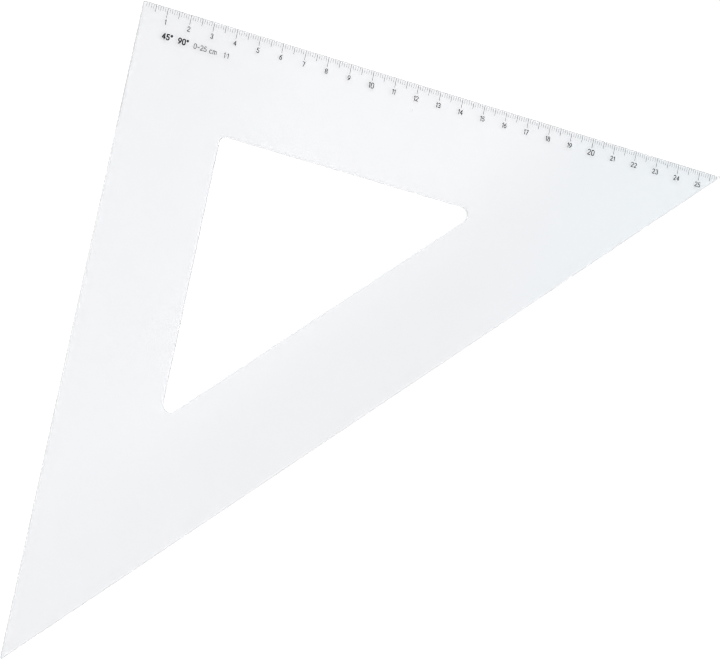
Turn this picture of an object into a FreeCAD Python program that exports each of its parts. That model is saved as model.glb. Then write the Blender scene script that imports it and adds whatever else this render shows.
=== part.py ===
import FreeCAD, Part

# A 45 degree set square: one clear moulded plate, graduated and numbered along one leg.
# The zero corner (the right angle) of the underside is the origin. +X runs along the
# graduated leg, the other leg runs along -Y and the printed face looks up, along +Z.
# Every printed mark is a thin film of ink that lies on the upper face.

import math
import os

import Sketcher
from FreeCAD import Vector

DIMENSIONS = {
    # the plate
    "leg_length": 260,
    "plate_thickness": 2,
    "corner_radius": 0.3,
    "edge_break": 0.15,
    # the triangular opening and the bands around it
    "leg_band": 42.5,
    "hypotenuse_band": 42.9,
    "opening_corner_radius": 3,
    # the mark that the moulding gate leaves in the underside, from the two legs
    "gate_mark_from_corner": 119.5,
    "gate_mark_from_scale": 10.7,
    "gate_mark_diameter": 1.2,
    "gate_mark_depth": 0.2,
    # the ink and how near it comes to an edge
    "ink_thickness": 0.03,
    "print_margin": 0.3,
    # the graduation: each line runs from tick_start to its own depth below the edge
    "tick_pitch": 1,
    "tick_start": 0.35,
    "last_tick_from_tip": 2,
    "millimetre_tick_end": 2.05,
    "millimetre_tick_line": 0.075,
    "half_centimetre_tick_end": 3.15,
    "half_centimetre_tick_line": 0.14,
    "centimetre_tick_end": 4.1,
    "centimetre_tick_line": 0.14,
    # the numerals, whose tops stand a gap below the centimetre lines
    "numeral_gap": 0.7,
    "numeral_height": 2.05,
    "numeral_line": 0.27,
    "tens_numeral_height": 2.4,
    "tens_numeral_line": 0.3,
    # the two marks near the zero corner share one base line
    "mark_base_depth": 12.6,
    "angle_mark_from_corner": 9.8,
    "angle_mark_height": 2.6,
    "angle_mark_line": 0.46,
    "unit_mark_from_corner": 23.5,
    "unit_mark_height": 2.1,
    "unit_mark_line": 0.24,
}

TICKS_PER_HALF_CENTIMETRE = 5
TICKS_PER_CENTIMETRE = 10
TENS = 10
ANGLE_MARK = "45°  90°"
UNIT_MARK = "0-25 cm   1:1"

# Letter forms are drawn in units of their own height, with the pen's centre line from 0 to 1.
GLYPH_WIDTH = 0.52
ONE_WIDTH = 0.18
GLYPH_GAP = 0.3
SPACE_WIDTH = 0.2


# ---------------------------------------------------------------- document and sheet


def make_sheet(doc):
    """Put every driving dimension in a spreadsheet under its own alias."""
    sheet = doc.addObject("Spreadsheet::Sheet", "Dimensions")
    for row, (alias, value) in enumerate(DIMENSIONS.items(), start=1):
        sheet.set(f"A{row}", alias)
        sheet.set(f"B{row}", str(value))
        sheet.setAlias(f"B{row}", alias)
    doc.recompute()
    return sheet


def bind(item, expressions):
    """Bind each property of an object, or named constraint of a sketch, to the sheet."""
    for name, expression in expressions.items():
        item.setExpression(name, expression)


# ---------------------------------------------------------------- sketches


def new_sketch(body, name):
    """A sketch on the XY plane of its own body."""
    sketch = body.newObject("Sketcher::SketchObject", name)
    plane = next(f for f in body.Origin.OriginFeatures if f.Role == "XY_Plane")
    sketch.AttachmentSupport = [(plane, "")]
    sketch.MapMode = "FlatFace"
    return sketch


def closed_polygon(sketch, points):
    """Lines through the points, joined end to end; returns the index of the first line."""
    first = sketch.GeometryCount
    count = len(points)
    for i in range(count):
        sketch.addGeometry(Part.LineSegment(points[i], points[(i + 1) % count]))
    for i in range(count):
        sketch.addConstraint(Sketcher.Constraint("Coincident", first + i, 2, first + (i + 1) % count, 1))
    return first


def dimension(sketch, kind, line, point, name, expression):
    """Hold one point of a line at a distance from the sketch's origin, given by the sheet."""
    at = sketch.getPoint(line, point)
    value = at.x if kind == "DistanceX" else at.y
    number = sketch.addConstraint(Sketcher.Constraint(kind, -1, 1, line, point, value))
    sketch.renameConstraint(number, name)
    sketch.setExpression(f"Constraints.{name}", expression)


def corner_triangle(sketch, near, far, near_size, far_size):
    """A right triangle with its right angle at (near, -near) and its other corners at far."""
    corners = [Vector(near, -near, 0), Vector(far, -near, 0), Vector(near, -far, 0)]
    first = closed_polygon(sketch, corners)
    sketch.addConstraint(Sketcher.Constraint("Horizontal", first))
    sketch.addConstraint(Sketcher.Constraint("Vertical", first + 2))
    if near:
        dimension(sketch, "DistanceX", first, 1, "near_x", near_size)
        dimension(sketch, "DistanceY", first, 1, "near_y", f"-({near_size})")
    else:
        sketch.addConstraint(Sketcher.Constraint("Coincident", first, 1, -1, 1))
    dimension(sketch, "DistanceX", first, 2, "far_x", far_size)
    dimension(sketch, "DistanceY", first + 1, 2, "far_y", f"-({far_size})")


def rectangle(sketch, low, high, sizes):
    """An upright rectangle whose left, right, lower and upper sides follow the sheet."""
    corners = [low, Vector(high.x, low.y, 0), high, Vector(low.x, high.y, 0)]
    first = closed_polygon(sketch, corners)
    for line in (first, first + 2):
        sketch.addConstraint(Sketcher.Constraint("Horizontal", line))
    for line in (first + 1, first + 3):
        sketch.addConstraint(Sketcher.Constraint("Vertical", line))
    dimension(sketch, "DistanceX", first, 1, "left", sizes["left"])
    dimension(sketch, "DistanceY", first, 1, "lower", sizes["lower"])
    dimension(sketch, "DistanceX", first + 1, 2, "right", sizes["right"])
    dimension(sketch, "DistanceY", first + 1, 2, "upper", sizes["upper"])


# ---------------------------------------------------------------- the plate


def upright_edges(shape):
    """Names and middles of the edges that run straight up through the plate."""
    found = []
    for number, edge in enumerate(shape.Edges, start=1):
        straight = edge.Curve.TypeId == "Part::GeomLine"
        if straight and abs(edge.tangentAt(edge.FirstParameter).z) > 0.99:
            found.append((f"Edge{number}", edge.CenterOfMass))
    return found


def face_outline_edges(shape):
    """Names of the edges that bound the upper and the lower face."""
    box = shape.BoundBox
    names = []
    for number, edge in enumerate(shape.Edges, start=1):
        level = edge.BoundBox.ZMax - edge.BoundBox.ZMin < 1e-6
        outer = min(edge.BoundBox.ZMin - box.ZMin, box.ZMax - edge.BoundBox.ZMax) < 1e-6
        if level and outer:
            names.append(f"Edge{number}")
    return names


def round_edges(doc, body, name, base, edges, radius):
    fillet = body.newObject("PartDesign::Fillet", name)
    fillet.Base = (base, edges)
    bind(fillet, {"Radius": radius})
    doc.recompute()
    return fillet


def make_plate(doc, sheet):
    """The moulded plate, with its opening, broken edges and gate mark."""
    body = doc.addObject("PartDesign::Body", "Plate")
    body.Label = "plate"

    outline = new_sketch(body, "Outline")
    corner_triangle(outline, 0, sheet.leg_length, "0", "Dimensions.leg_length")
    slab = body.newObject("PartDesign::Pad", "Slab")
    slab.Profile = outline
    bind(slab, {"Length": "Dimensions.plate_thickness"})

    window = new_sketch(body, "Window")
    far = sheet.leg_length - sheet.leg_band - math.sqrt(2) * sheet.hypotenuse_band
    far_size = "Dimensions.leg_length - Dimensions.leg_band - sqrt(2) * Dimensions.hypotenuse_band"
    corner_triangle(window, sheet.leg_band, far, "Dimensions.leg_band", far_size)
    opening = body.newObject("PartDesign::Pocket", "Opening")
    opening.Profile = window
    opening.Type = "ThroughAll"
    opening.Reversed = True
    doc.recompute()

    inner = [name for name, middle in upright_edges(opening.Shape) if inside_band(sheet, middle)]
    rounded = round_edges(doc, body, "OpeningCorners", opening, inner, "Dimensions.opening_corner_radius")
    outer = [name for name, middle in upright_edges(rounded.Shape) if at_plate_corner(sheet, middle)]
    softened = round_edges(doc, body, "PlateCorners", rounded, outer, "Dimensions.corner_radius")

    broken = body.newObject("PartDesign::Chamfer", "EdgeBreak")
    broken.Base = (softened, face_outline_edges(softened.Shape))
    bind(broken, {"Size": "Dimensions.edge_break"})
    doc.recompute()

    make_gate_mark(body, sheet)
    doc.recompute()
    return body


def inside_band(sheet, point):
    """Is the point an inner corner of the band, away from both legs' outer edges?"""
    return min(point.x, -point.y) > sheet.leg_band / 2


def at_plate_corner(sheet, point):
    """Is the point one of the three outer corners of the plate?"""
    corners = (
        Vector(0, 0, point.z),
        Vector(sheet.leg_length, 0, point.z),
        Vector(0, -sheet.leg_length, point.z),
    )
    return any(point.distanceToPoint(corner) < 1e-3 for corner in corners)


def make_gate_mark(body, sheet):
    """The small round pit that the moulding gate leaves in the underside."""
    circle = new_sketch(body, "GateCircle")
    centre = Vector(sheet.gate_mark_from_corner, -sheet.gate_mark_from_scale, 0)
    circle.addGeometry(Part.Circle(centre, Vector(0, 0, 1), sheet.gate_mark_diameter / 2))
    number = circle.addConstraint(Sketcher.Constraint("Diameter", 0, sheet.gate_mark_diameter))
    circle.renameConstraint(number, "diameter")
    circle.setExpression("Constraints.diameter", "Dimensions.gate_mark_diameter")
    dimension(circle, "DistanceX", 0, 3, "from_corner", "Dimensions.gate_mark_from_corner")
    dimension(circle, "DistanceY", 0, 3, "from_scale", "-Dimensions.gate_mark_from_scale")
    pit = body.newObject("PartDesign::Pocket", "GateMark")
    pit.Profile = circle
    pit.Reversed = True
    bind(pit, {"Length": "Dimensions.gate_mark_depth"})


# ---------------------------------------------------------------- the graduation


def make_printable_area(doc, sheet):
    """The stretch of the upper face that ink may cover: the plate less a margin all round."""
    body = doc.addObject("PartDesign::Body", "PrintableArea")
    area = new_sketch(body, "PrintableOutline")
    far = sheet.leg_length - (1 + math.sqrt(2)) * sheet.print_margin
    far_size = "Dimensions.leg_length - (1 + sqrt(2)) * Dimensions.print_margin"
    corner_triangle(area, sheet.print_margin, far, "Dimensions.print_margin", far_size)
    film = body.newObject("PartDesign::Pad", "PrintableFilm")
    film.Profile = area
    bind(film, {"Length": "Dimensions.ink_thickness"})
    bind(body, {"Placement.Base.z": "Dimensions.plate_thickness"})
    return body


def tick_row(body, sheet, first, step, kind):
    """One line at a reading, repeated every few readings up to the end of the scale."""
    name = f"From{first}By{step}"
    at = f"{first} * Dimensions.tick_pitch"
    sketch = new_sketch(body, f"Line{name}")
    x = first * sheet.tick_pitch
    side = sheet.get(f"{kind}_line") / 2
    low = Vector(x - side, -sheet.get(f"{kind}_end"), 0)
    high = Vector(x + side, -sheet.tick_start, 0)
    sizes = {
        "left": f"{at} - Dimensions.{kind}_line / 2",
        "right": f"{at} + Dimensions.{kind}_line / 2",
        "lower": f"-Dimensions.{kind}_end",
        "upper": "-Dimensions.tick_start",
    }
    rectangle(sketch, low, high, sizes)

    line = body.newObject("PartDesign::Pad", f"Tick{name}")
    line.Profile = sketch
    bind(line, {"Length": "Dimensions.ink_thickness"})

    row = body.newObject("PartDesign::LinearPattern", f"Row{name}")
    row.Originals = [line]
    row.Direction = (sketch, ["H_Axis"])
    row.Mode = "Spacing"
    last = "(Dimensions.leg_length - Dimensions.last_tick_from_tip) / Dimensions.tick_pitch"
    count = f"floor(({last} - {first}) / {step}) + 1"
    bind(row, {"Offset": f"{step} * Dimensions.tick_pitch", "Occurrences": count})
    body.Tip = row


def make_ticks(doc, sheet, area, kind, rows):
    """All lines of one length, kept within the printable area."""
    label = f"{kind}s"
    name = "".join(word.capitalize() for word in label.split("_"))
    body = doc.addObject("PartDesign::Body", f"{name}Rows")
    bind(body, {"Placement.Base.z": "Dimensions.plate_thickness"})
    for first, step in rows:
        tick_row(body, sheet, first, step, kind)
    printed = doc.addObject("Part::Common", name)
    printed.Base = body
    printed.Tool = area
    printed.Label = label
    return printed


def make_graduation(doc, sheet):
    """The three lengths of line: millimetres, half centimetres and centimetres."""
    area = make_printable_area(doc, sheet)
    half, whole = TICKS_PER_HALF_CENTIMETRE, TICKS_PER_CENTIMETRE
    between = [(first, half) for first in range(1, half)]
    return [
        make_ticks(doc, sheet, area, "millimetre_tick", between),
        make_ticks(doc, sheet, area, "half_centimetre_tick", [(half, whole)]),
        make_ticks(doc, sheet, area, "centimetre_tick", [(whole, whole)]),
    ]


# ---------------------------------------------------------------- letter forms


def on_circle(centre, radius, angle):
    turn = math.radians(angle)
    return Vector(centre[0] + radius * math.cos(turn), centre[1] + radius * math.sin(turn), 0)


def bend(centre, radius, start, end):
    """An arc from one angle to another, in degrees; it turns clockwise when end < start."""
    points = [on_circle(centre, radius, angle) for angle in (start, (start + end) / 2, end)]
    return Part.Arc(*points).toShape()


def run(*points):
    """Straight pen lines through (x, y) points."""
    corners = [Vector(x, y, 0) for x, y in points]
    return [Part.makeLine(a, b) for a, b in zip(corners, corners[1:])]


def ring(centre, radius):
    return [bend(centre, radius, 180, 0), bend(centre, radius, 0, -180)]


def upright_oval(middle, low, high, radius):
    """A closed loop of two half circles and the straight sides between them."""
    left, right = middle - radius, middle + radius
    top, bottom = high - radius, low + radius
    return [
        bend((middle, top), radius, 180, 0),
        *run((right, top), (right, bottom)),
        bend((middle, bottom), radius, 0, -180),
        *run((left, bottom), (left, top)),
    ]


def turned(strokes):
    """The strokes turned half way round about the glyph's middle."""
    middle = Vector(GLYPH_WIDTH / 2, 0.5, 0)
    copies = [[edge.copy() for edge in stroke] for stroke in strokes]
    for stroke in copies:
        for edge in stroke:
            edge.rotate(middle, Vector(0, 0, 1), 180)
    return copies


def make_glyphs():
    """Each character's width and its pen strokes, every stroke a chain of edges."""
    wide, half = GLYPH_WIDTH, GLYPH_WIDTH / 2
    small_bowl, large_bowl = 0.235, 0.265
    bowl_meeting = 2 * large_bowl
    lower_case, arch = 0.7, 0.19

    two_bowl = (half, 1 - half)
    two_neck = on_circle(two_bowl, half, -40)
    five_bowl, five_radius = (0.23, 0.29), 0.29
    five_shoulder = on_circle(five_bowl, five_radius, 125)
    tail_radius, tail_turn = 0.746, 66.6
    six = [
        upright_oval(half, 0, 0.6, half),
        [bend((tail_radius, 0.3), tail_radius, 180, 180 - tail_turn)],
    ]
    return {
        "0": (wide, [upright_oval(half, 0, 1, half)]),
        "1": (ONE_WIDTH, [run((0, 1 - ONE_WIDTH), (ONE_WIDTH, 1), (ONE_WIDTH, 0))]),
        "2": (wide, [[bend(two_bowl, half, 165, -40), *run((two_neck.x, two_neck.y), (0, 0), (wide, 0))]]),
        "3": (
            wide,
            [
                [bend((half, 1 - small_bowl), small_bowl, 155, -90)],
                [bend((half, large_bowl), large_bowl, 90, -155)],
            ],
        ),
        "4": (wide, [run((0.4, 0), (0.4, 1)), run((0.4, 1), (0, 0.28), (wide, 0.28))]),
        "5": (
            wide,
            [
                run((0.47, 1), (0.1, 1), (five_shoulder.x, five_shoulder.y))
                + [bend(five_bowl, five_radius, 125, -150)]
            ],
        ),
        "6": (wide, six),
        "7": (wide, [run((0, 1), (wide, 1), (0.2, 0))]),
        "8": (
            wide,
            [
                ring((half, bowl_meeting + small_bowl), small_bowl),
                ring((half, large_bowl), large_bowl),
            ],
        ),
        "9": (wide, turned(six)),
        "°": (0.26, [ring((0.13, 0.87), 0.13)]),
        "-": (0.4, [run((0, 0.45), (0.4, 0.45))]),
        "c": (
            wide - 0.06,
            [
                [
                    bend((half, lower_case - half), half, 40, 180),
                    *run((0, lower_case - half), (0, half)),
                    bend((half, half), half, 180, 320),
                ]
            ],
        ),
        "m": (
            4 * arch,
            [
                run((0, lower_case), (0, 0)),
                [bend((arch, lower_case - arch), arch, 180, 0), *run((2 * arch, lower_case - arch), (2 * arch, 0))],
                [
                    bend((3 * arch, lower_case - arch), arch, 180, 0),
                    *run((4 * arch, lower_case - arch), (4 * arch, 0)),
                ],
            ],
        ),
        ":": (0, [run((0, 0.2), (0, 0.24)), run((0, 0.6), (0, 0.64))]),
        " ": (SPACE_WIDTH, []),
    }


def slot(start, end, line):
    """The area that a round pen covers along one straight line."""
    side = Vector(0, 0, 1).cross(end - start).normalize() * line / 2
    ahead = (end - start).normalize() * line / 2
    outline = [
        Part.makeLine(start + side, end + side),
        Part.Arc(end + side, end + ahead, end - side).toShape(),
        Part.makeLine(end - side, start - side),
        Part.Arc(start - side, start - ahead, start + side).toShape(),
    ]
    return Part.Face(Part.Wire(outline))


def pen_stroke(edges, scale, line):
    """The area that a round pen covers as it follows one stroke."""
    wire = Part.Wire(edges)
    wire.scale(scale)
    if len(edges) == 1 and edges[0].Curve.TypeId == "Part::GeomLine":
        start, end = (vertex.Point for vertex in wire.Vertexes)
        return slot(start, end, line)
    outer = Part.Face(wire.makeOffset2D(line / 2))
    if not wire.isClosed():
        return outer
    return outer.cut(Part.Face(wire.makeOffset2D(-line / 2))).Faces[0]


def inked(strokes, scale, line, ink):
    """One character as solid ink: its strokes raised and joined."""
    bars = [pen_stroke(edges, scale, line).extrude(Vector(0, 0, ink)) for edges in strokes]
    joined = bars[0].multiFuse(bars[1:]).removeSplitter() if len(bars) > 1 else bars[0]
    return joined.Solids


def lettering(glyphs, text, height, line, ink):
    """A line of text as solid ink, its lower left corner at the origin."""
    scale = height - line
    film, at = [], 0
    for character in text:
        width, strokes = glyphs[character]
        for solid in inked(strokes, scale, line, ink) if strokes else []:
            solid.translate(Vector(at * scale + line / 2, line / 2, 0))
            film.append(solid)
        at += width + GLYPH_GAP
    return Part.makeCompound(film)


# ---------------------------------------------------------------- numerals and marks


def add_lettering(doc, label, shape, place):
    item = doc.addObject("Part::Feature", "".join(word.capitalize() for word in label.split("_")))
    item.Label = label
    item.Shape = shape
    item.Placement = FreeCAD.Placement(place, FreeCAD.Rotation())
    return item


def make_numerals(doc, sheet, glyphs):
    """A numeral under each centimetre line, as far as the hypotenuse leaves room for it."""
    numerals = []
    number = 1
    while True:
        size = "tens_numeral" if number % TENS == 0 else "numeral"
        height, line = sheet.get(f"{size}_height"), sheet.get(f"{size}_line")
        shape = lettering(glyphs, str(number), height, line, sheet.ink_thickness)
        box = shape.BoundBox
        reading = number * TICKS_PER_CENTIMETRE * sheet.tick_pitch
        depth = sheet.centimetre_tick_end + sheet.numeral_gap + height
        reach = reading + box.XLength / 2 + depth
        if reach > sheet.leg_length - sheet.print_margin * math.sqrt(2):
            return numerals
        place = Vector(reading - box.Center.x, -depth, sheet.plate_thickness)
        numerals.append(add_lettering(doc, f"numeral_{number}", shape, place))
        number += 1


def make_mark(doc, sheet, glyphs, label, text):
    """One line of lettering on the base line near the zero corner."""
    shape = lettering(
        glyphs, text, sheet.get(f"{label}_height"), sheet.get(f"{label}_line"), sheet.ink_thickness
    )
    place = Vector(sheet.get(f"{label}_from_corner"), -sheet.mark_base_depth, sheet.plate_thickness)
    return add_lettering(doc, label, shape, place)


# ---------------------------------------------------------------- checks and files


def check(doc, pieces):
    """Stop if any object failed to build or any piece has no sound shape."""
    doc.recompute()
    for item in doc.Objects:
        if "Invalid" in item.State or "Error" in item.State:
            raise RuntimeError(f"{item.Label} failed to build: {item.State}")
    for piece in pieces:
        if piece.Shape.isNull() or not piece.Shape.isValid() or not piece.Shape.Solids:
            raise RuntimeError(f"{piece.Label} has no sound shape")


def check_plate(sheet, plate):
    """Stop if the opening or the gate mark cut nothing."""
    opening_leg = sheet.leg_length - 2 * sheet.leg_band - math.sqrt(2) * sheet.hypotenuse_band
    full = sheet.leg_length**2 / 2
    expected = (full - opening_leg**2 / 2) * sheet.plate_thickness
    if abs(plate.Shape.Volume - expected) > 0.01 * expected:
        raise RuntimeError("the plate's volume is not that of a triangle with an opening")
    pit = Vector(sheet.gate_mark_from_corner, -sheet.gate_mark_from_scale, sheet.gate_mark_depth / 2)
    if plate.Shape.isInside(pit, 1e-6, True):
        raise RuntimeError("the gate mark was not cut")


def export(pieces):
    os.makedirs("parts", exist_ok=True)
    for piece in pieces:
        piece.Shape.exportStep(f"parts/{piece.Label}.step")


def main():
    doc = FreeCAD.newDocument("SetSquare")
    sheet = make_sheet(doc)
    glyphs = make_glyphs()
    plate = make_plate(doc, sheet)
    pieces = [plate, *make_graduation(doc, sheet)]
    pieces += make_numerals(doc, sheet, glyphs)
    pieces.append(make_mark(doc, sheet, glyphs, "angle_mark", ANGLE_MARK))
    pieces.append(make_mark(doc, sheet, glyphs, "unit_mark", UNIT_MARK))
    check(doc, pieces)
    check_plate(sheet, plate)
    export(pieces)


main()
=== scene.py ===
import math

import bpy
from mathutils import Matrix, Vector


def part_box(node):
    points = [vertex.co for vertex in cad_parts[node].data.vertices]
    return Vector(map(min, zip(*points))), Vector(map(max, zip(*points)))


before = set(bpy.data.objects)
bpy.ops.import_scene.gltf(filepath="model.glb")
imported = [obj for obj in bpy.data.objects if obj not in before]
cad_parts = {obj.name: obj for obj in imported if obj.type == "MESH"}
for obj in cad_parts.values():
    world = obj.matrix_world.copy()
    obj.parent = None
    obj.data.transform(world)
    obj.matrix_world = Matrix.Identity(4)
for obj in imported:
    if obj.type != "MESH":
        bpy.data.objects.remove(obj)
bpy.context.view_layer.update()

bl_info = {
    "name": "Clear set square",
    "version": (1, 0, 0),
    "blender": (4, 5, 0),
    "location": "3D View > Sidebar > Set square",
    "description": "Finishes a clear 45 degree set square and lights it on a pale table",
    "category": "Object",
}

PLATE_LOW, PLATE_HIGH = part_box("plate")
PLATE_MIDDLE = (PLATE_LOW + PLATE_HIGH) / 2

# How nearly a face's normal points up or down: on a flat face more than the first value, on
# a side wall less than the second.
UPWARD = (0, 0, 1)
WALL_FROM_TO = (0.6, 0.2)

# Rub marks run two ways: how each set is stretched along and across its marks, the angle it
# is turned by, and the range of noise in which a mark shows.
RUB_MARKS = (
    ((12, 900, 1), math.radians(24), (0.72, 0.8)),
    ((14, 1100, 1), math.radians(-51), (0.73, 0.8)),
)
RIPPLES_PER_METRE = 22

# Grain of the ink and of the table top: patterns per metre, and the middle range of noise
# that they are drawn from.
GRAIN_FROM_TO = (0.3, 0.7)
INK_GRAIN_PER_METRE = 9000
INK_GRAIN_HEIGHT = 0.000004
INK_ROUGHNESS_SPREAD = 0.1
THIN_SPOTS_PER_METRE = 2500
THIN_SPOTS_FROM_TO = (0.45, 0.7)
TABLE_GRAIN_PER_METRE = 1800
TABLE_GRAIN_HEIGHT = 0.00003
TABLE_ROUGHNESS = (0.85, 0.95)
CLOUDS_PER_METRE = 3.5
CLOUD_SHADE = 0.985

# The ceiling panel that the plate's faces mirror. It is placed by direction: its middle, how
# far it reaches from there, and where along two directions it grows lighter and turns cooler.
PANEL_MIDDLE = (0.385, 0.155, 0.91)
PANEL_REACH = (0.14, 0.35)
LIGHTER = (-0.785, 0.62, 0)
LIGHTER_FROM_TO = (-0.215, -0.193)
RIGHTWARD = (1, 0, 0)
MIDDLE_FROM_TO = (0.345, 0.375)
COOLER_FROM_TO = (0.408, 0.444)
WHITE = (1, 1, 1)
SOFTBOX_PLACE = Vector((-1.0, -0.8, 2.2))

# How often light may be turned inside the plate, which it runs along for its whole length,
# and on matt surfaces; and the width in dots that each dot of a picture gathers light from.
CLEAR_BOUNCES = 128
MATT_BOUNCES = 6
PICTURE_SOFTNESS = 1.2


# ---------------------------------------------------------------- settings


class AcrylicSettings(bpy.types.PropertyGroup):
    """The clear moulded sheet."""

    tint: bpy.props.FloatVectorProperty(
        name="Tint",
        description="Colour that the sheet gives to light passing through it",
        default=(0.878, 0.879, 0.889),
        subtype="COLOR",
        min=0,
        max=1,
    )
    # Painted light: the side walls get a paler tint than the faces so that they read brighter,
    # standing in for light carried along inside the plate.
    painted_bright_edge_tint: bpy.props.FloatVectorProperty(
        name="Edge tint",
        description="Colour that the side walls give to light passing through them",
        default=(0.93, 0.935, 0.94),
        subtype="COLOR",
        min=0,
        max=1,
    )
    edge_clearness: bpy.props.FloatProperty(
        name="Edge clearness",
        description="Share of the light that the satin side walls let through; they scatter the rest",
        default=0.4,
        min=0,
        max=1,
    )
    refraction: bpy.props.FloatProperty(
        name="Refraction",
        description="How strongly the acrylic bends light",
        default=1.491,
        min=1,
        max=2,
    )
    polish: bpy.props.FloatProperty(
        name="Polish roughness",
        description="Roughness of the polished faces between the rub marks",
        default=0.004,
        min=0,
        max=1,
    )
    rubbed: bpy.props.FloatProperty(
        name="Rubbed roughness",
        description="Roughness of the hairline rub marks left by use",
        default=0.05,
        min=0,
        max=1,
    )
    edge_frost: bpy.props.FloatProperty(
        name="Edge roughness",
        description="Roughness of the narrow side walls, which are not polished like the faces",
        default=0.12,
        min=0,
        max=1,
    )
    ripple: bpy.props.FloatProperty(
        name="Moulding ripple",
        description="Height of the slow waves that moulding leaves in the faces",
        default=0.00002,
        unit="LENGTH",
        min=0,
    )


class InkSettings(bpy.types.PropertyGroup):
    """The printed black ink."""

    colour: bpy.props.FloatVectorProperty(
        name="Ink colour",
        description="Colour of the solid ink",
        default=(0.012, 0.012, 0.014),
        subtype="COLOR",
        min=0,
        max=1,
    )
    thin_colour: bpy.props.FloatVectorProperty(
        name="Thin ink colour",
        description="Colour of the ink where the print is thin",
        default=(0.04, 0.04, 0.045),
        subtype="COLOR",
        min=0,
        max=1,
    )
    roughness: bpy.props.FloatProperty(
        name="Ink roughness",
        description="Roughness of the dried ink",
        default=0.45,
        min=0,
        max=1,
    )


class StageSettings(bpy.types.PropertyGroup):
    """The table, the lights and the camera."""

    table_colour: bpy.props.FloatVectorProperty(
        name="Table colour",
        description="Colour of the pale table top",
        default=(0.86, 0.86, 0.86),
        subtype="COLOR",
        min=0,
        max=1,
    )
    table_glow: bpy.props.FloatProperty(
        name="Table glow",
        description="Light that the milky table top lets through from below",
        default=0.38,
        min=0,
    )
    table_width: bpy.props.FloatProperty(
        name="Table width",
        description="Width of the table top",
        default=8.0,
        unit="LENGTH",
    )
    air_gap: bpy.props.FloatProperty(
        name="Air gap",
        description="Air left between the set square and the table top",
        default=0.0001,
        unit="LENGTH",
    )
    azimuth: bpy.props.FloatProperty(
        name="Camera azimuth",
        description="Where the camera stands round the set square; at zero it looks along +Y",
        default=math.radians(-67.99),
        unit="ROTATION",
    )
    elevation: bpy.props.FloatProperty(
        name="Camera elevation",
        description="How high the camera stands above the table",
        default=math.radians(64.89),
        unit="ROTATION",
    )
    roll: bpy.props.FloatProperty(
        name="Camera roll",
        description="How far the camera is turned about its own line of sight",
        default=math.radians(81.67),
        unit="ROTATION",
    )
    distance: bpy.props.FloatProperty(
        name="Camera distance",
        description="From the camera to the point it aims at",
        default=1.8257,
        unit="LENGTH",
    )
    aim: bpy.props.FloatVectorProperty(
        name="Camera aim",
        description="The point of the upper face at the middle of the picture",
        default=(0.11675, -0.10164, 0.002),
        subtype="TRANSLATION",
        unit="LENGTH",
    )
    lens: bpy.props.FloatProperty(
        name="Lens",
        description="Focal length of the camera in millimetres, for a 36 mm sensor",
        default=232.8,
    )
    room_light: bpy.props.FloatProperty(
        name="Room light",
        description="Strength of the even white light from all round",
        default=0.71,
        min=0,
    )
    panel_light: bpy.props.FloatVectorProperty(
        name="Panel, light middle",
        description="Lightest part of the ceiling panel, against the room's white",
        default=(1.6, 1.6, 1.6),
        subtype="COLOR",
        min=0,
    )
    panel_left: bpy.props.FloatVectorProperty(
        name="Panel, left side",
        description="Left side of the ceiling panel, against the room's white",
        default=(0.85, 0.85, 0.85),
        subtype="COLOR",
        min=0,
    )
    panel_dim: bpy.props.FloatVectorProperty(
        name="Panel, dim side",
        description="Dim side of the ceiling panel, against the room's white",
        default=(0.4, 0.4, 0.4),
        subtype="COLOR",
        min=0,
    )
    panel_cool: bpy.props.FloatVectorProperty(
        name="Panel, cool end",
        description="Bluish end of the ceiling panel, against the room's white",
        default=(0.24, 0.84, 1.0),
        subtype="COLOR",
        min=0,
    )
    softbox_power: bpy.props.FloatProperty(
        name="Softbox power",
        description="Power of the large softbox on the near side",
        default=12.0,
        unit="POWER",
        min=0,
    )
    softbox_width: bpy.props.FloatProperty(
        name="Softbox width",
        description="Width of the square softbox",
        default=1.5,
        unit="LENGTH",
        min=0,
    )


# ---------------------------------------------------------------- nodes of a material


def new_material(name):
    """An empty node material with its output and one shader, joined."""
    material = bpy.data.materials.new(name)
    material.use_nodes = True
    tree = material.node_tree
    tree.nodes.clear()
    output = tree.nodes.new("ShaderNodeOutputMaterial")
    shader = tree.nodes.new("ShaderNodeBsdfPrincipled")
    tree.links.new(shader.outputs["BSDF"], output.inputs["Surface"])
    return material, tree, shader


def object_coordinates(tree, scale=(1, 1, 1), angle=0.0):
    """Places on the object, in metres, stretched and turned for one pattern."""
    place = tree.nodes.new("ShaderNodeTexCoord")
    mapping = tree.nodes.new("ShaderNodeMapping")
    mapping.inputs["Scale"].default_value = scale
    mapping.inputs["Rotation"].default_value = (0, 0, angle)
    tree.links.new(place.outputs["Object"], mapping.inputs["Vector"])
    return mapping.outputs["Vector"]


def noise(tree, vector, scale, detail):
    """Soft random patches from 0 to 1."""
    node = tree.nodes.new("ShaderNodeTexNoise")
    node.inputs["Scale"].default_value = scale
    node.inputs["Detail"].default_value = detail
    tree.links.new(vector, node.inputs["Vector"])
    return node.outputs["Fac"]


def map_range(tree, value, source=(0, 1), target=(0, 1)):
    """A value taken smoothly from one range to another."""
    node = tree.nodes.new("ShaderNodeMapRange")
    node.interpolation_type = "SMOOTHSTEP"
    for name, number in zip(("From Min", "From Max", "To Min", "To Max"), (*source, *target)):
        node.inputs[name].default_value = number
    tree.links.new(value, node.inputs["Value"])
    return node.outputs["Result"]


def larger(tree, first, second):
    """The larger of two values."""
    node = tree.nodes.new("ShaderNodeMath")
    node.operation = "MAXIMUM"
    tree.links.new(first, node.inputs[0])
    tree.links.new(second, node.inputs[1])
    return node.outputs["Value"]


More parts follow.
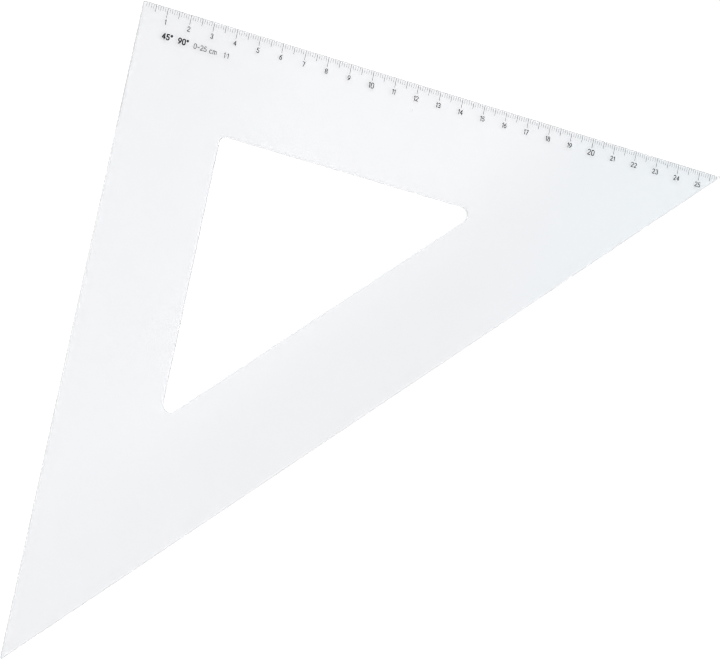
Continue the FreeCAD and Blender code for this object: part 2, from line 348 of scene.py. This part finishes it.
def upright(tree):
    """1 on the side walls and 0 on the flat faces."""
    facing = tree.nodes.new("ShaderNodeTexCoord").outputs["Normal"]
    along = measured(tree, "DOT_PRODUCT", facing, UPWARD)
    flatness = tree.nodes.new("ShaderNodeMath")
    flatness.operation = "ABSOLUTE"
    tree.links.new(along, flatness.inputs[0])
    return map_range(tree, flatness.outputs["Value"], source=WALL_FROM_TO)


def mix_colour(tree, factor, first, second):
    """Two colours, each a plain one or another node's, mixed by a factor."""
    node = tree.nodes.new("ShaderNodeMix")
    node.data_type = "RGBA"
    sockets = [socket for socket in node.inputs if socket.type == "RGBA"]
    for socket, colour in zip(sockets, (first, second)):
        if isinstance(colour, bpy.types.NodeSocket):
            tree.links.new(colour, socket)
        else:
            socket.default_value = (*colour, 1)
    tree.links.new(factor, node.inputs["Factor"])
    return next(socket for socket in node.outputs if socket.type == "RGBA")


def measured(tree, operation, vector, fixed):
    """A distance or dot product between a node's vector and a fixed one."""
    node = tree.nodes.new("ShaderNodeVectorMath")
    node.operation = operation
    node.inputs[1].default_value = fixed
    tree.links.new(vector, node.inputs[0])
    return node.outputs["Value"]


def bump(tree, height, distance):
    """A surface raised by a pattern, by a distance in metres at most."""
    node = tree.nodes.new("ShaderNodeBump")
    node.inputs["Distance"].default_value = distance
    tree.links.new(height, node.inputs["Height"])
    return node.outputs["Normal"]


# ---------------------------------------------------------------- materials


def rub_marks(tree, stretch, angle, shows):
    """1 along the hairlines of one direction and 0 between them."""
    place = object_coordinates(tree, scale=stretch, angle=angle)
    return map_range(tree, noise(tree, place, scale=1, detail=1), source=shows)


def acrylic_material(settings):
    """Clear acrylic: polished, faintly rippled by the mould, with hairline rub marks from use."""
    material, tree, shader = new_material("clear_acrylic")
    wall = upright(tree)
    # The side walls take the paler tint here, painted light that makes them read brighter than the
    # faces.
    tint = mix_colour(tree, wall, settings.tint, settings.painted_bright_edge_tint)
    tree.links.new(tint, shader.inputs["Base Color"])
    clearness = map_range(tree, wall, target=(1, settings.edge_clearness))
    tree.links.new(clearness, shader.inputs["Transmission Weight"])
    shader.inputs["IOR"].default_value = settings.refraction

    hairlines = larger(tree, *[rub_marks(tree, *marks) for marks in RUB_MARKS])
    faces = map_range(tree, hairlines, target=(settings.polish, settings.rubbed))
    walls = map_range(tree, wall, target=(0, settings.edge_frost))
    tree.links.new(larger(tree, faces, walls), shader.inputs["Roughness"])

    waves = noise(tree, object_coordinates(tree), RIPPLES_PER_METRE, detail=1)
    tree.links.new(bump(tree, waves, settings.ripple), shader.inputs["Normal"])
    return material


def ink_material(settings):
    """Dried screen-printed ink: nearly black, a little thin in places."""
    material, tree, shader = new_material("black_ink")
    place = object_coordinates(tree)
    spots = noise(tree, place, THIN_SPOTS_PER_METRE, detail=2)
    thin = map_range(tree, spots, source=THIN_SPOTS_FROM_TO)
    colour = mix_colour(tree, thin, settings.colour, settings.thin_colour)
    tree.links.new(colour, shader.inputs["Base Color"])
    grain = noise(tree, place, INK_GRAIN_PER_METRE, detail=2)
    smoothest = settings.roughness - INK_ROUGHNESS_SPREAD
    roughest = settings.roughness + INK_ROUGHNESS_SPREAD
    rough = map_range(tree, grain, source=GRAIN_FROM_TO, target=(smoothest, roughest))
    tree.links.new(rough, shader.inputs["Roughness"])
    tree.links.new(bump(tree, grain, INK_GRAIN_HEIGHT), shader.inputs["Normal"])
    return material


def table_material(settings):
    """A milky table top lit faintly from below, a little uneven in colour and surface."""
    material, tree, shader = new_material("pale_table")
    place = object_coordinates(tree)
    shade = tuple(CLOUD_SHADE * channel for channel in settings.table_colour)
    clouds = map_range(tree, noise(tree, place, CLOUDS_PER_METRE, detail=4), source=GRAIN_FROM_TO)
    colour = mix_colour(tree, clouds, shade, settings.table_colour)
    tree.links.new(colour, shader.inputs["Base Color"])
    grain = noise(tree, place, TABLE_GRAIN_PER_METRE, detail=2)
    rough = map_range(tree, grain, source=GRAIN_FROM_TO, target=TABLE_ROUGHNESS)
    tree.links.new(rough, shader.inputs["Roughness"])
    tree.links.new(bump(tree, grain, TABLE_GRAIN_HEIGHT), shader.inputs["Normal"])
    shader.inputs["Specular IOR Level"].default_value = 0
    shader.inputs["Emission Color"].default_value = (*WHITE, 1)
    shader.inputs["Emission Strength"].default_value = settings.table_glow
    return material


def give(node, material):
    """Put a material on every slot of a frame node."""
    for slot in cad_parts[node].material_slots:
        slot.material = material


# ---------------------------------------------------------------- operators


class SETSQUARE_OT_plate(bpy.types.Operator):
    """Finish the clear moulded plate"""

    bl_idname = "setsquare.plate"
    bl_label = "Plate"

    def execute(self, context):
        give("plate", acrylic_material(context.scene.setsquare_acrylic))
        return {"FINISHED"}


class SETSQUARE_OT_print(bpy.types.Operator):
    """Ink the graduation, the numerals and the two marks"""

    bl_idname = "setsquare.print"
    bl_label = "Print"

    def execute(self, context):
        ink = ink_material(context.scene.setsquare_ink)
        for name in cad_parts:
            if name != "plate":
                give(name, ink)
        return {"FINISHED"}


class SETSQUARE_OT_stage(bpy.types.Operator):
    """Lay out the table, the lights and the camera"""

    bl_idname = "setsquare.stage"
    bl_label = "Stage"

    def execute(self, context):
        settings = context.scene.setsquare_stage
        make_table(settings)
        make_room(context.scene, settings)
        make_softbox(context.scene, settings)
        make_camera(context.scene, settings)
        context.scene.view_settings.view_transform = "Standard"
        clear_light(context.scene.cycles)
        return {"FINISHED"}


def make_table(settings):
    """A wide table top just below the set square."""
    bpy.ops.object.select_all(action="DESELECT")
    bpy.ops.mesh.primitive_plane_add(size=settings.table_width, location=(0, 0, 0))
    table = bpy.context.object
    table.name = "table_top"
    place = (PLATE_MIDDLE.x, PLATE_MIDDLE.y, PLATE_LOW.z - settings.air_gap)
    table.data.transform(Matrix.Translation(place))
    table.data.materials.append(table_material(settings))


def make_room(scene, settings):
    """Even white light from all round, and the ceiling panel that gives the plate its soft shading."""
    world = bpy.data.worlds.new("studio")
    world.use_nodes = True
    tree = world.node_tree
    towards = tree.nodes.new("ShaderNodeTexCoord").outputs["Generated"]
    to_light = measured(tree, "DOT_PRODUCT", towards, LIGHTER)
    to_right = measured(tree, "DOT_PRODUCT", towards, RIGHTWARD)
    from_middle = measured(tree, "DISTANCE", towards, PANEL_MIDDLE)

    lighter = map_range(tree, to_light, source=LIGHTER_FROM_TO)
    central = map_range(tree, to_right, source=MIDDLE_FROM_TO)
    cooler = map_range(tree, to_right, source=COOLER_FROM_TO)
    outside = map_range(tree, from_middle, source=PANEL_REACH)
    light_side = mix_colour(tree, central, settings.panel_left, settings.panel_light)
    white_part = mix_colour(tree, lighter, settings.panel_dim, light_side)
    panel = mix_colour(tree, cooler, white_part, settings.panel_cool)
    background = tree.nodes["Background"]
    tree.links.new(mix_colour(tree, outside, panel, WHITE), background.inputs["Color"])
    background.inputs["Strength"].default_value = settings.room_light
    scene.world = world


def make_softbox(scene, settings):
    """One large weak softbox on the near side, so that the shadows are faint and soft."""
    light = bpy.data.lights.new("softbox", "AREA")
    light.size = settings.softbox_width
    light.energy = settings.softbox_power
    holder = bpy.data.objects.new("softbox", light)
    holder.location = SOFTBOX_PLACE
    holder.rotation_euler = (PLATE_MIDDLE - SOFTBOX_PLACE).to_track_quat("-Z", "Y").to_euler()
    scene.collection.objects.link(holder)


def clear_light(cycles):
    """Let light cross the plate and run along inside it without being blurred or cut short."""
    cycles.blur_glossy = 0
    cycles.max_bounces = CLEAR_BOUNCES
    cycles.transmission_bounces = CLEAR_BOUNCES
    cycles.glossy_bounces = CLEAR_BOUNCES
    cycles.diffuse_bounces = MATT_BOUNCES
    cycles.filter_width = PICTURE_SOFTNESS


def make_camera(scene, settings):
    """A long lens high over the plain leg, turned so that the scale runs down to the right."""
    data = bpy.data.cameras.new("camera")
    data.lens = settings.lens
    camera = bpy.data.objects.new("camera", data)
    scene.collection.objects.link(camera)
    around, up = settings.azimuth, settings.elevation
    back = Vector((math.sin(around) * math.cos(up), -math.cos(around) * math.cos(up), math.sin(up)))
    level = Vector((math.cos(around), math.sin(around), 0))
    above = back.cross(level)
    right = level * math.cos(settings.roll) + above * math.sin(settings.roll)
    turned = Matrix((right, back.cross(right), back)).transposed()
    place = Vector(settings.aim) + back * settings.distance
    camera.matrix_world = Matrix.Translation(place) @ turned.to_4x4()
    scene.camera = camera


class SETSQUARE_PT_panel(bpy.types.Panel):
    """The steps that finish the set square, in order"""

    bl_idname = "SETSQUARE_PT_panel"
    bl_label = "Set square"
    bl_space_type = "VIEW_3D"
    bl_region_type = "UI"
    bl_category = "Set square"

    def draw(self, context):
        for step in STEPS:
            self.layout.operator(step.bl_idname)
        for group in SETTINGS.values():
            settings = getattr(context.scene, group)
            for name in settings.bl_rna.properties.keys():
                if name not in ("rna_type", "name"):
                    self.layout.prop(settings, name)


# ---------------------------------------------------------------- registration


STEPS = (SETSQUARE_OT_plate, SETSQUARE_OT_print, SETSQUARE_OT_stage)
SETTINGS = {
    AcrylicSettings: "setsquare_acrylic",
    InkSettings: "setsquare_ink",
    StageSettings: "setsquare_stage",
}


def register():
    for kind in (*SETTINGS, *STEPS, SETSQUARE_PT_panel):
        bpy.utils.register_class(kind)
    for kind, name in SETTINGS.items():
        setattr(bpy.types.Scene, name, bpy.props.PointerProperty(type=kind))


def unregister():
    for name in SETTINGS.values():
        delattr(bpy.types.Scene, name)
    for kind in reversed((*SETTINGS, *STEPS, SETSQUARE_PT_panel)):
        bpy.utils.unregister_class(kind)


def main():
    register()
    bpy.ops.setsquare.plate()
    bpy.ops.setsquare.print()
    bpy.ops.setsquare.stage()


if __name__ == "__main__":
    main()
